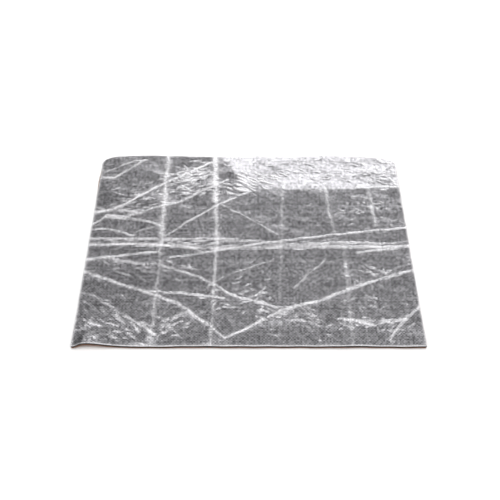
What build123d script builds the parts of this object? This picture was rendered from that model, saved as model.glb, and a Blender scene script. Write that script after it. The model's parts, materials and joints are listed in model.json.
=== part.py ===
from build123d import *
import os

# A thin three-layer foam pad: rust-brown base foam, charcoal foam and a woven metallised
# facing. Each layer is one sheet on the real object. It is split here at the permanent
# fold lines, so that the panels between the folds can turn about them.
# Millimetres. The long side lies along X and the rear is +Y. The pad rests on Z = 0, and
# its middle is at the origin.

# widths of the six columns of panels, from the left edge to the right edge
column_widths = [111.0, 84.0, 105.0, 87.5, 62.5, 50.0]

# lengths of the two rows of panels, in front of and behind the fold along the pad
front_row_length = 196.8
rear_row_length = 203.2

# layers, from the floor up
base_thickness = 2.4
core_thickness = 2.3
facing_thickness = 0.3

# outline
front_corner_radius = 1.5
rear_corner_radius = 18.0

# the top rim of the facing, rounded where the pad was cut
facing_rim_radius = 0.12

# open gap between two panels at a fold
fold_clearance = 0.3

# derived sizes
pad_width = sum(column_widths)
pad_length = front_row_length + rear_row_length
pad_left = -pad_width / 2
pad_right = pad_width / 2
pad_front = -pad_length / 2
pad_rear = pad_length / 2
half_fold_y = pad_front + front_row_length
core_bottom = base_thickness
facing_bottom = core_bottom + core_thickness

rows = {"front": (pad_front, half_fold_y), "rear": (half_fold_y, pad_rear)}
layers = {
    "base": (0.0, base_thickness),
    "core": (core_bottom, core_thickness),
    "facing": (facing_bottom, facing_thickness),
}


def plate(width, length, thickness, x, y, bottom):
    """A flat block centred on x, y, with its underside at the given height."""
    block = Box(width, length, thickness, align=(Align.CENTER, Align.CENTER, Align.MIN))
    return Pos(x, y, bottom) * block


def whole_layer(bottom, thickness):
    """One layer over the whole pad, with the corners of the pad's outline."""
    sheet = plate(pad_width, pad_length, thickness, 0, 0, bottom)
    rear_corners = sheet.edges().filter_by(Axis.Z).sort_by(Axis.Y)[2:]
    sheet = fillet(rear_corners, rear_corner_radius)
    front_corners = sheet.edges().filter_by(Axis.Z).sort_by(Axis.Y)[:2]
    return fillet(front_corners, front_corner_radius)


def panel_window(left, right, front, rear, bottom, thickness):
    """The space of one panel, held back by half the clearance where it meets a fold."""
    if left > pad_left:
        left += fold_clearance / 2
    if right < pad_right:
        right -= fold_clearance / 2
    if front > pad_front:
        front += fold_clearance / 2
    if rear < pad_rear:
        rear -= fold_clearance / 2
    x = (left + right) / 2
    y = (front + rear) / 2
    return plate(right - left, rear - front, thickness, x, y, bottom)


os.makedirs("parts", exist_ok=True)
for layer, (bottom, thickness) in layers.items():
    sheet = whole_layer(bottom, thickness)
    if layer == "facing":
        rim = sheet.faces().sort_by(Axis.Z)[-1].edges()
        sheet = fillet(rim, facing_rim_radius)
    for row, (front, rear) in rows.items():
        left = pad_left
        for column, width in enumerate(column_widths, start=1):
            # the last column ends on the outline, whatever the sum rounds to
            right = pad_right if column == len(column_widths) else left + width
            window = panel_window(left, right, front, rear, bottom, thickness)
            export_step(sheet & window, f"parts/{row}_{column}_{layer}.step")
            left = right
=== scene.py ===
"""A short folding foam pad: rust-brown base foam, charcoal foam and a creased silver cloth facing."""
import json
import logging
import math
from dataclasses import dataclass
from enum import Enum
from typing import Any, Sequence

import bpy
import numpy as np
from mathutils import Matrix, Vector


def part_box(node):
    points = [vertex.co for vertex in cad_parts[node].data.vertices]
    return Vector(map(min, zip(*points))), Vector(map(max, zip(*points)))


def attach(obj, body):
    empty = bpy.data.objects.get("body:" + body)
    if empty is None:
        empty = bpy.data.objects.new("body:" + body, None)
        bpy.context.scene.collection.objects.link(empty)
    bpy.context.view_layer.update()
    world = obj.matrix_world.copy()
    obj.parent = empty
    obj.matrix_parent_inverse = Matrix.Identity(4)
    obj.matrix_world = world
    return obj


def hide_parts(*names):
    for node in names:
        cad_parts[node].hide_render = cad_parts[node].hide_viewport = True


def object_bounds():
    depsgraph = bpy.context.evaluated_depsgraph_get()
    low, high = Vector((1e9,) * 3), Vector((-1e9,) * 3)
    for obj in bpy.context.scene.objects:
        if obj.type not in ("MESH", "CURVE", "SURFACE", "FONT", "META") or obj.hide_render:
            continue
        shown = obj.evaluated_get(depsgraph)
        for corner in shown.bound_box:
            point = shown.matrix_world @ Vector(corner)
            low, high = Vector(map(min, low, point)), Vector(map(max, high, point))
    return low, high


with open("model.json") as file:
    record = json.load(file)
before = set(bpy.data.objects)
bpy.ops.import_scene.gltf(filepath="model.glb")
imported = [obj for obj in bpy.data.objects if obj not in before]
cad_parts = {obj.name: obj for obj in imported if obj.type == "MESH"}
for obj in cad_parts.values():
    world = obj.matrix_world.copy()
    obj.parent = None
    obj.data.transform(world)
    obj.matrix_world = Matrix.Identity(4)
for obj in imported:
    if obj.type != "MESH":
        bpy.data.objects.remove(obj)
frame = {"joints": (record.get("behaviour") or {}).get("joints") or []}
CAD_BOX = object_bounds()
LOG = logging.getLogger("pad")
MM = 0.001
Array = np.ndarray
Colour = tuple[float, float, float]
Point = tuple[float, float, float]
Socket = bpy.types.NodeSocket


# ---------------------------------------------------------------- nodes and maths


class Value:
    """A number that varies over a surface. Python's operators on it add its Math nodes."""

    def __init__(self, nodes: "Nodes", socket: Socket) -> None:
        """Wraps one output socket.

        Args:
            nodes: the tree that it belongs to.
            socket: the output that carries the number.
        """
        self.nodes = nodes
        self.socket = socket

    def _math(self, operation: str, *terms: Any) -> "Value":
        """One Math node.

        Args:
            operation: the node's operation.
            terms: its inputs in order, Values or plain numbers.

        Returns:
            The node's result.
        """
        made = self.nodes.node("ShaderNodeMath", {"operation": operation}, dict(enumerate(terms)))
        return Value(self.nodes, made.outputs[0])

    def __add__(self, other: Any) -> "Value":
        """self + other."""
        return self._math("ADD", self, other)

    __radd__ = __add__

    def __sub__(self, other: Any) -> "Value":
        """self - other."""
        return self._math("SUBTRACT", self, other)

    def __rsub__(self, other: Any) -> "Value":
        """other - self."""
        return self._math("SUBTRACT", other, self)

    def __mul__(self, other: Any) -> "Value":
        """self * other."""
        return self._math("MULTIPLY", self, other)

    __rmul__ = __mul__

    def __mod__(self, other: Any) -> "Value":
        """self % other, which is never negative for a positive other."""
        return self._math("FLOORED_MODULO", self, other)

    def floor(self) -> "Value":
        """The whole number below."""
        return self._math("FLOOR", self)

    def clamp(self) -> "Value":
        """Held between 0 and 1."""
        return self._math("MINIMUM", self._math("MAXIMUM", self, 0.0), 1.0)


class Nodes:
    """A node tree, and the one way in which its nodes are made."""

    def __init__(self, tree: bpy.types.NodeTree) -> None:
        """Takes over a tree.

        Args:
            tree: the tree.
        """
        self.tree = tree

    def node(
        self, kind: str, settings: dict[str, Any] | None = None, inputs: dict[Any, Any] | None = None
    ) -> bpy.types.Node:
        """Adds one node of any type.

        Args:
            kind: the node's type name.
            settings: what is set on the node itself, first of all.
            inputs: socket name or number to a value, an output socket or a Value.

        Returns:
            The node.
        """
        made = self.tree.nodes.new(kind)
        for key, setting in (settings or {}).items():
            setattr(made, key, setting)
        for key, term in (inputs or {}).items():
            term = term.socket if isinstance(term, Value) else term
            if isinstance(term, Socket):
                self.tree.links.new(term, made.inputs[key])
            else:
                made.inputs[key].default_value = term
        return made


class Shader(Nodes):
    """One material's node tree."""

    def __init__(self, name: str) -> None:
        """Starts an empty material.

        Args:
            name: the material's name.
        """
        self.material = bpy.data.materials.new(name)
        self.material.use_nodes = True
        super().__init__(self.material.node_tree)
        self.tree.nodes.clear()

    def object_place(self) -> Socket:
        """The place on the piece, in object coordinates."""
        return self.node("ShaderNodeTexCoord").outputs["Object"]

    def attribute(self, name: str) -> Value:
        """A number stored on the mesh, by its attribute's name."""
        made = self.node("ShaderNodeAttribute", {"attribute_name": name})
        return Value(self, made.outputs["Fac"])

    def noise(self, scale: float, detail: float, vector: Socket) -> Value:
        """Soft noise from 0 to 1.

        Args:
            scale: repeats per metre.
            detail: how many finer octaves are added.
            vector: where it is read.
        """
        inputs = {"Vector": vector, "Scale": scale, "Detail": detail}
        return Value(self, self.node("ShaderNodeTexNoise", None, inputs).outputs["Fac"])

    def random(self, number: Value, offset: float) -> Value:
        """A steady random value from 0 to 1 for each whole number, different for each offset."""
        made = self.node("ShaderNodeTexWhiteNoise", {"noise_dimensions": "1D"}, {"W": number + offset})
        return Value(self, made.outputs["Value"])

    def mix(self, factor: Value, low: Colour | Socket, high: Colour | Socket) -> Socket:
        """A colour from low, at factor 0, to high, at factor 1."""
        low, high = (shade if isinstance(shade, Socket) else (*shade, 1.0) for shade in (low, high))
        return self.node("ShaderNodeMix", {"data_type": "RGBA"}, {0: factor, 6: low, 7: high}).outputs[2]

    def bump(self, height_mm: Value) -> Socket:
        """The normal of a surface raised by a height in millimetres."""
        inputs = {"Strength": 1.0, "Distance": MM, "Height": height_mm}
        return self.node("ShaderNodeBump", None, inputs).outputs["Normal"]

    def finish(self, **sockets: Any) -> bpy.types.Material:
        """Ends the tree in a Principled shader.

        Args:
            sockets: its inputs, with _ for a space in their names.

        Returns:
            The finished material.
        """
        inputs = {key.replace("_", " "): term for key, term in sockets.items()}
        surface = self.node("ShaderNodeBsdfPrincipled", None, inputs)
        self.node("ShaderNodeOutputMaterial", None, {"Surface": surface.outputs["BSDF"]})
        return self.material


# ------------------------------------------------------------------- finishes


@dataclass(frozen=True)
class SilverCloth:
    """Plain-woven flat plastic tapes under a silver film, frosted white where it was creased, and with a
    painted highlight along the cut edge carried in the same frosting.
    """

    film_dark: Colour = (0.100, 0.098, 0.105)
    film_bright: Colour = (0.434, 0.429, 0.445)
    # frosted is also the colour of the painted highlight along the cut edge.
    frosted: Colour = (0.905, 0.893, 0.915)
    warp_tape: float = 2.29 * MM
    weft_tape: float = 2.42 * MM
    tape_bulge_mm: float = 0.055
    tape_twist_mm: float = 0.035
    roughness: float = 0.30
    frosted_roughness: float = 0.55
    spot_roughness: float = 0.04
    metal_lost: float = 0.75
    # How much lighter or darker a spot is for the tape on top, a run of crossings, or a whole tape.
    over_contrast: float = 0.34
    run_contrast: float = 0.48
    warp_contrast: float = 0.14
    weft_contrast: float = 0.22
    runs_per_tape: float = 0.7

    def make(self) -> bpy.types.Material:
        """Builds the material.

        Returns:
            The cloth, which reads the UV map "cloth" in metres and the attributes wear and sway; wear also
            carries a painted highlight along the cut edge.
        """
        s = Shader("silver_tape_cloth")
        uv = s.node("ShaderNodeUVMap", {"uv_map": "cloth"}).outputs["UV"]
        split = s.node("ShaderNodeSeparateXYZ", None, {"Vector": uv})
        across = Value(s, split.outputs["X"]) * (1 / self.warp_tape)
        along = Value(s, split.outputs["Y"]) * (1 / self.weft_tape)
        warp, weft = across.floor(), along.floor()
        in_warp, in_weft = across - warp, along - weft
        warp_on_top = (warp + weft) % 2.0
        weave = self.weave(warp_on_top, in_warp, in_weft)
        warp_turn, weft_turn = s.random(warp, 0.37) - 0.5, s.random(weft, 91.37) - 0.5
        twist = warp_turn * in_warp + weft_turn * in_weft
        height = weave * self.tape_bulge_mm + twist * self.tape_twist_mm + s.attribute("sway")
        warp_run = s.random(warp * 17.0 + (along * self.runs_per_tape).floor() * 131.0, 5.5) - 0.5
        weft_run = s.random(weft * 23.0 + (across * self.runs_per_tape).floor() * 157.0, 47.5) - 0.5
        crossings = (warp_on_top - 0.5) * self.over_contrast + (warp_run + weft_run) * self.run_contrast
        tapes = warp_turn * self.warp_contrast + weft_turn * self.weft_contrast
        film = s.mix((0.5 + crossings + tapes).clamp(), self.film_dark, self.film_bright)
        worn_spots = s.noise(700.0, 2.0, uv)
        wear = self.wear(s, uv, weave, worn_spots)
        rough = wear * (self.frosted_roughness - self.roughness) + self.roughness
        return s.finish(
            Base_Color=s.mix(wear, film, self.frosted),
            Metallic=1 - wear * self.metal_lost,
            Roughness=rough + (worn_spots - 0.5) * self.spot_roughness,
            Normal=s.bump(height),
        )

    def weave(self, warp_on_top: Value, in_warp: Value, in_weft: Value) -> Value:
        """The bulge of the tape that lies on top, from 0 to 1.

        Args:
            warp_on_top: 1 where the warp lies over the weft and 0 where it lies under.
            in_warp: how far across its warp tape a point is, from 0 to 1.
            in_weft: how far across its weft tape it is.
        """
        bow_warp = in_warp * (1 - in_warp) * 4.0
        bow_weft = in_weft * (1 - in_weft) * 4.0
        warp_patch = (bow_warp * 1.7).clamp() * 0.5 + bow_weft * 0.5
        weft_patch = (bow_weft * 1.7).clamp() * 0.5 + bow_warp * 0.5
        return warp_on_top * warp_patch + (1 - warp_on_top) * weft_patch

    def wear(self, s: Shader, uv: Socket, weave: Value, worn_spots: Value) -> Value:
        """Where the film is frosted: in spots along the creases, in patches rubbed by handling, and in a
        painted highlight along the cut edge.

        Args:
            s: the material's tree.
            uv: the place on the cloth.
            weave: the tapes' bulge, which wears first.
            worn_spots: fine noise that breaks the frosting up.
        """
        # The wear attribute holds the creases' wear and a painted highlight along the cut edge.
        creased = s.attribute("wear") * (worn_spots * 3.0 + weave * 0.5 - 1.05)
        rubbed = ((s.noise(330.0, 2.0, uv) - 0.53) * 3.0).clamp()
        handled = (s.noise(15.0, 2.0, uv) * 2.6 - 0.85).clamp()
        return (creased + rubbed * handled * 0.45).clamp()


@dataclass(frozen=True)
class Foam:
    """Closed-cell foam with a fine cell texture, a soft mottle and a grain."""

    name: str
    shade: Colour
    tint: Colour
    cell: float = 0.55 * MM
    cell_depth_mm: float = 0.07
    mottle_depth_mm: float = 0.12
    grain_depth_mm: float = 0.05
    roughness: float = 0.82
    roughness_spread: float = 0.12

    def make(self) -> bpy.types.Material:
        """Builds the material, which reads object coordinates.

        Returns:
            The foam.
        """
        s = Shader(self.name)
        place = s.object_place()
        cells = s.node("ShaderNodeTexVoronoi", None, {"Vector": place, "Scale": 1 / self.cell})
        depth = Value(s, cells.outputs["Distance"])
        mottle = s.noise(70.0, 4.0, place)
        grain = s.noise(1500.0, 2.0, place)
        shade = (mottle * 0.9 + grain * 0.5 - 0.2).clamp()
        height = depth * self.cell_depth_mm + grain * self.grain_depth_mm + mottle * self.mottle_depth_mm
        rough = grain * self.roughness_spread + (self.roughness - self.roughness_spread / 2)
        return s.finish(
            Base_Color=s.mix(shade, self.shade, self.tint),
            Roughness=rough.clamp(),
            Normal=s.bump(height),
        )


CHARCOAL = Foam("charcoal_foam", (0.012, 0.012, 0.013), (0.030, 0.030, 0.032))
# These rust-brown colours are set darker than the foam's own: painted shade for the shade that falls on the
# base's cut edge.
RUST_WITH_PAINTED_SHADE = Foam("rust_foam", (0.19, 0.070, 0.026), (0.34, 0.145, 0.060))


@dataclass(frozen=True)
class TapeEnds:
    """Frayed ends of the cut tapes: clear plastic with torn silver film."""

    bright: Colour = (0.80, 0.80, 0.81)
    dull: Colour = (0.45, 0.45, 0.47)
    metal: float = 0.5
    roughness: float = 0.55
    roughness_lost: float = 0.15

    def make(self) -> bpy.types.Material:
        """Builds the material.

        Returns:
            The finish of the frayed ends.
        """
        s = Shader("frayed_tape")
        patches = (s.noise(400.0, 2.0, s.object_place()) * 1.6 - 0.3).clamp()
        return s.finish(
            Base_Color=s.mix(patches, self.dull, self.bright),
            Metallic=patches * self.metal,
            Roughness=self.roughness - patches * self.roughness_lost,
        )


@dataclass(frozen=True)
class PaleFloor:
    """A plain pale floor."""

    colour: Colour = (0.93, 0.93, 0.93)
    roughness: float = 0.9

    def make(self) -> bpy.types.Material:
        """Builds the material."""
        return Shader("pale_floor").finish(Base_Color=(*self.colour, 1.0), Roughness=self.roughness)


# ------------------------------------------------------------- sizes and folds


class Inwards(Enum):
    """Which face of the pad lies inside a fold."""

    FACING = 1
    BASE = -1


@dataclass(frozen=True)
class Fold:
    """One fold line: its hinge's place along the other axis, its height and what it folds in."""

    place: float
    height: float
    inwards: Inwards


@dataclass(frozen=True)
class PadSizes:
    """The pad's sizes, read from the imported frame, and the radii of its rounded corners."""

    low: Array
    high: Array
    core_bottom: float
    facing_bottom: float
    cross_folds: tuple[Fold, ...]
    half_fold: Fold
    rear_corner: float = 18 * MM
    front_corner: float = 1.5 * MM

    @classmethod
    def from_frame(cls) -> "PadSizes":
        """Reads the solids' boxes and the joints.

        Returns:
            The sizes.
        """
        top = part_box("front_1_facing")[1].z
        joints = {j["name"]: j for j in frame["joints"]}
        folds = []
        for number in range(1, 6):
            x, _, z = joints[f"cross_fold_{number}"]["pos_m"]
            folds.append(Fold(x, z, Inwards.FACING if z > top else Inwards.BASE))
        _, y, z = joints["half_fold"]["pos_m"]
        return cls(
            low=np.array(CAD_BOX[0]),
            high=np.array(CAD_BOX[1]),
            core_bottom=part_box("front_1_core")[0].z,
            facing_bottom=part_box("front_1_facing")[0].z,
            cross_folds=tuple(folds),
            half_fold=Fold(y, z, Inwards.FACING),
        )

    @property
    def top(self) -> float:
        """The height of the flat facing."""
        return float(self.high[2])

    @property
    def column_lines(self) -> list[float]:
        """The left edge, the folds across the pad and the right edge."""
        return [self.low[0], *(fold.place for fold in self.cross_folds), self.high[0]]

    def at(self, share: tuple[float, float]) -> Array:
        """The point at a share of the width from the left and of the length from the rear."""
        u, v = share
        size = self.high - self.low
        return np.array([self.low[0] + u * size[0], self.high[1] - v * size[1]])


def smooth_step(t: Array) -> Array:
    """0 below 0, 1 above 1 and an even S curve between."""
    t = np.clip(t, 0.0, 1.0)
    return t * t * (3 - 2 * t)


def waves(t: Array, terms: Sequence[tuple[float, float, float]]) -> Array:
    """A sum of sine waves, each given by its radians per metre, its phase and its share."""
    return sum(share * np.sin(t * rate + phase) for rate, phase, share in terms)


# ---------------------------------------------------------------------- relief


@dataclass(frozen=True)
class Crease:
    """A crease in the facing, left by folding, through points given as shares from left and rear."""

    path: tuple[tuple[float, float], ...]
    height_mm: float
    width_mm: float
    wear: float
    tent_mm: float = 0.0


@dataclass(frozen=True)
class Wrinkles:
    """A patch of short wrinkles."""

    centre: tuple[float, float]
    reach: tuple[float, float]
    turn_deg: float
    spread_deg: float
    count: int
    length_mm: float
    height_mm: float
    wear: float


FOLD_CREASES = (
    Crease(((0.222, 0.0), (0.224, 0.30), (0.226, 0.5)), 0.26, 3.9, 0.54, 0.15),
    Crease(((0.226, 0.5), (0.224, 0.8), (0.222, 1.0)), 0.20, 2.8, 0.26, 0.10),
    Crease(((0.384, 0.0), (0.388, 0.14), (0.391, 0.27)), 0.30, 4.0, 0.86, 0.20),
    Crease(((0.391, 0.27), (0.396, 0.4), (0.400, 0.5)), 0.22, 3.4, 0.44, 0.20),
    Crease(((0.400, 0.5), (0.396, 0.75), (0.390, 1.0)), 0.20, 2.4, 0.36, 0.10),
    Crease(((0.615, 0.15), (0.606, 0.35), (0.602, 0.5)), 0.12, 2.3, 0.19, 0.10),
    Crease(((0.602, 0.5), (0.594, 0.7), (0.586, 1.0)), 0.12, 2.2, 0.14, 0.05),
    Crease(((0.755, 0.20), (0.758, 0.33), (0.770, 0.45)), 0.20, 2.4, 0.28, 0.10),
    Crease(((0.796, 0.52), (0.797, 0.65), (0.792, 1.0)), 0.12, 3.2, 0.20, 0.10),
    Crease(((0.895, 0.20), (0.901, 0.30), (0.906, 0.41)), 0.18, 2.4, 0.30, 0.10),
    Crease(((0.0, 0.480), (0.12, 0.482), (0.30, 0.485), (0.46, 0.485)), 0.40, 1.7, 0.60, 0.25),
    Crease(((0.0, 0.514), (0.16, 0.508), (0.26, 0.520), (0.34, 0.531)), 0.38, 1.7, 0.60, 0.20),
    Crease(((0.46, 0.485), (0.52, 0.497), (0.58, 0.516), (0.75, 0.512)), 0.28, 2.0, 0.26, 0.10),
    Crease(((0.30, 0.531), (0.50, 0.532), (0.70, 0.524), (0.85, 0.528)), 0.34, 2.6, 0.34, 0.30),
    Crease(((0.85, 0.528), (1.0, 0.522)), 0.42, 1.9, 0.80, 0.30),
    Crease(((0.25, 0.505), (0.32, 0.528), (0.36, 0.557)), 0.28, 1.5, 0.40, 0.10),
    Crease(
        ((0.66, 0.500), (0.72, 0.507), (0.80, 0.502), (0.92, 0.510), (1.0, 0.500)),
        0.22, 2.0, 0.20, 0.10,
    ),
    Crease(((0.83, 0.555), (0.90, 0.543), (0.96, 0.531)), 0.34, 1.6, 0.60, 0.10),
)
CREASES = (
    Crease(
        ((0.0, 0.336), (0.06, 0.318), (0.10, 0.283), (0.214, 0.168), (0.364, 0.045)),
        0.55, 1.5, 0.95, 0.30,
    ),
    Crease(((0.236, 0.469), (0.30, 0.395), (0.389, 0.305), (0.457, 0.252)), 0.34, 1.3, 0.50, 0.20),
    Crease(((0.410, 0.296), (0.470, 0.345), (0.560, 0.430), (0.590, 0.460)), 0.18, 1.5, 0.30, 0.15),
    Crease(
        ((0.250, 0.584), (0.380, 0.550), (0.536, 0.509), (0.76, 0.462), (1.0, 0.424)),
        0.46, 1.3, 0.55, 0.30,
    ),
    Crease(((0.0, 0.590), (0.10, 0.573), (0.22, 0.548)), 0.42, 1.5, 0.60, 0.20),
    Crease(
        ((0.0, 0.590), (0.07, 0.583), (0.16, 0.612), (0.23, 0.618), (0.33, 0.668), (0.38, 0.704)),
        0.34, 1.8, 0.40, 0.25,
    ),
    Crease(
        ((0.0, 0.654), (0.09, 0.700), (0.19, 0.752), (0.245, 0.778), (0.286, 0.800), (0.386, 0.907)),
        0.55, 1.7, 0.66, 0.40,
    ),
    Crease(((0.386, 0.907), (0.432, 0.965)), 0.40, 1.4, 0.46, 0.20),
    Crease(((0.432, 0.965), (0.50, 0.916), (0.593, 0.840)), 0.50, 1.6, 0.62, 0.35),
    Crease(
        ((0.593, 0.840), (0.714, 0.788), (0.80, 0.739), (0.90, 0.688), (1.0, 0.648)),
        0.55, 1.8, 0.66, 0.40,
    ),
    Crease(((0.20, 0.750), (0.307, 0.757), (0.43, 0.783)), 0.40, 1.7, 0.46, 0.20),
    Crease(
        ((0.386, 0.708), (0.443, 0.761), (0.50, 0.792), (0.543, 0.805), (0.593, 0.834)),
        0.48, 1.5, 0.60, 0.20,
    ),
    Crease(((0.389, 0.712), (0.430, 0.677), (0.528, 0.619), (0.60, 0.575)), 0.16, 1.5, 0.17, 0.10),
    Crease(((0.550, 0.727), (0.53, 0.763), (0.49, 0.785)), 0.30, 1.5, 0.36, 0.10),
    Crease(((0.635, 0.735), (0.686, 0.659), (0.735, 0.593)), 0.20, 1.6, 0.34, 0.15),
    Crease(((0.757, 0.878), (0.80, 0.885), (0.857, 0.903)), 0.40, 1.5, 0.50, 0.10),
    Crease(((0.80, 0.885), (0.90, 0.889), (0.96, 0.880)), 0.34, 2.2, 0.36, 0.15),
    Crease(((0.900, 0.965), (0.936, 0.903), (1.0, 0.823)), 0.40, 1.5, 0.46, 0.20),
    Crease(((0.143, 0.867), (0.19, 0.905), (0.236, 0.947)), 0.42, 1.8, 0.48, 0.15),
    Crease(((0.0, 0.752), (0.045, 0.770), (0.143, 0.867)), 0.24, 1.5, 0.30, 0.10),
    Crease(((0.014, 0.100), (0.07, 0.055), (0.114, 0.032), (0.15, 0.030)), 0.40, 1.6, 0.44, 0.15),
    Crease(((0.0, 0.136), (0.05, 0.133), (0.09, 0.085), (0.129, 0.040)), 0.46, 2.2, 0.52, 0.25),
    Crease(((0.0, 0.405), (0.043, 0.354), (0.10, 0.362), (0.157, 0.336)), 0.40, 2.0, 0.50, 0.20),
    Crease(((0.0, 0.340), (0.06, 0.322), (0.13, 0.333), (0.157, 0.350)), 0.34, 2.2, 0.46, 0.20),
    Crease(((0.04, 0.365), (0.12, 0.372), (0.19, 0.392), (0.218, 0.413)), 0.40, 1.7, 0.46, 0.15),
    Crease(((0.0, 0.436), (0.05, 0.428), (0.11, 0.452), (0.136, 0.466)), 0.40, 1.5, 0.48, 0.15),
    Crease(((0.136, 0.466), (0.15, 0.442), (0.205, 0.413)), 0.26, 1.4, 0.30, 0.10),
    Crease(
        ((0.150, 0.336), (0.207, 0.303), (0.27, 0.283), (0.343, 0.212), (0.428, 0.150)),
        0.44, 1.9, 0.46, 0.30,
    ),
    Crease(((0.43, 0.225), (0.47, 0.238), (0.50, 0.218)), 0.40, 1.6, 0.50, 0.10),
    Crease(((0.86, 0.192), (0.93, 0.190), (1.0, 0.187)), 0.36, 2.4, 0.42, 0.20),
    Crease(((0.88, 0.085), (0.93, 0.102), (1.0, 0.112)), 0.36, 1.8, 0.44, 0.20),
    Crease(((0.94, 0.012), (0.98, 0.035), (1.0, 0.050)), 0.36, 2.0, 0.40, 0.20),
    Crease(((0.857, 0.620), (0.90, 0.650), (0.915, 0.668)), 0.24, 1.4, 0.20, 0.10),
    Crease(((0.915, 0.668), (0.95, 0.632), (1.0, 0.610)), 0.22, 1.4, 0.14, 0.10),
    Crease(((0.255, 0.885), (0.31, 0.852), (0.33, 0.845)), 0.36, 1.6, 0.42, 0.10),
    Crease(((0.24, 0.870), (0.28, 0.920), (0.305, 0.960)), 0.24, 1.5, 0.26, 0.10),
)
WRINKLES = (
    Wrinkles((0.31, 0.15), (0.09, 0.09), 14, 16, 60, 18, 0.42, 0.55),
    Wrinkles((0.30, 0.17), (0.10, 0.09), -22, 14, 40, 16, 0.38, 0.50),
    Wrinkles((0.15, 0.24), (0.07, 0.06), 20, 25, 26, 14, 0.28, 0.28),
    Wrinkles((0.52, 0.15), (0.06, 0.04), -32, 6, 24, 18, 0.50, 0.85),
    Wrinkles((0.465, 0.20), (0.03, 0.025), -28, 6, 10, 18, 0.50, 0.90),
    Wrinkles((0.72, 0.09), (0.24, 0.09), -14, 16, 70, 18, 0.30, 0.20),
    Wrinkles((0.93, 0.10), (0.07, 0.09), -24, 22, 36, 12, 0.36, 0.34),
    Wrinkles((0.88, 0.33), (0.10, 0.09), 22, 40, 34, 12, 0.26, 0.34),
    Wrinkles((0.10, 0.31), (0.10, 0.05), 8, 14, 24, 18, 0.30, 0.32),
    Wrinkles((0.08, 0.88), (0.08, 0.10), -34, 12, 44, 16, 0.28, 0.24),
    Wrinkles((0.19, 0.93), (0.07, 0.05), -24, 14, 22, 14, 0.34, 0.34),
    Wrinkles((0.29, 0.90), (0.05, 0.06), 28, 16, 20, 12, 0.30, 0.30),
    Wrinkles((0.48, 0.77), (0.10, 0.07), 18, 30, 30, 14, 0.32, 0.34),
    Wrinkles((0.57, 0.84), (0.06, 0.05), -18, 18, 18, 14, 0.36, 0.40),
    Wrinkles((0.68, 0.90), (0.08, 0.07), -30, 24, 36, 13, 0.28, 0.26),
    Wrinkles((0.84, 0.80), (0.08, 0.07), -22, 40, 26, 12, 0.28, 0.26),
    Wrinkles((0.86, 0.66), (0.08, 0.06), -20, 30, 16, 14, 0.28, 0.30),
    Wrinkles((0.92, 0.92), (0.07, 0.06), 30, 30, 20, 12, 0.28, 0.26),
    Wrinkles((0.25, 0.51), (0.25, 0.020), 3, 7, 30, 26, 0.30, 0.36),
    Wrinkles((0.75, 0.52), (0.25, 0.022), 2, 9, 36, 24, 0.22, 0.20),
    Wrinkles((0.20, 0.64), (0.18, 0.05), -18, 16, 22, 22, 0.26, 0.26),
    Wrinkles((0.50, 0.50), (0.50, 0.50), 0, 90, 130, 14, 0.14, 0.12),
)


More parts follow.
